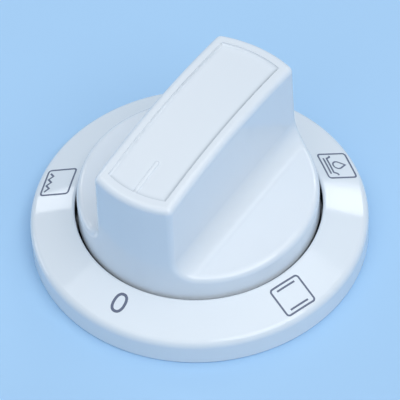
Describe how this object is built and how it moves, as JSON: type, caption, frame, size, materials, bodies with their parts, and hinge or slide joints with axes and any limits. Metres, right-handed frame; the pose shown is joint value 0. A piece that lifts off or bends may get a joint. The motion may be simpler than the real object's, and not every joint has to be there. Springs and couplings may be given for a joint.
{
  "type": "oven control knob",
  "caption": "Round white oven control knob with a raised grip bar and pointer rib, turning in a sloping dial ring and pushed onto a flatted switch shaft.",
  "frame": {"origin": "middle of the dial ring's back, in the plane that meets the panel", "axes": "Z is the turning axis and points away from the panel. The pointer rib points to -Y. X runs across the grip bar."},
  "size_m": [0.062, 0.062, 0.032],
  "materials": {
    "ring_plastic": "glossy cool white moulding",
    "knob_plastic": "glossy cool white moulding",
    "hub_plastic": "plain light grey moulding",
    "spring_steel": "bare rolled sheet"
  },
  "bodies": {
    "ring": {"dial_ring": "ring_plastic"},
    "knob": {"knob_body": "knob_plastic", "shaft_hub": "hub_plastic", "hub_spring": "spring_steel"}
  },
  "joints": [
    {"name": "knob_turn", "type": "hinge", "parent": "ring", "child": "knob", "pos_m": [0, 0, 0.002], "axis": [0, 0, 1], "continuous": true}
  ]
}
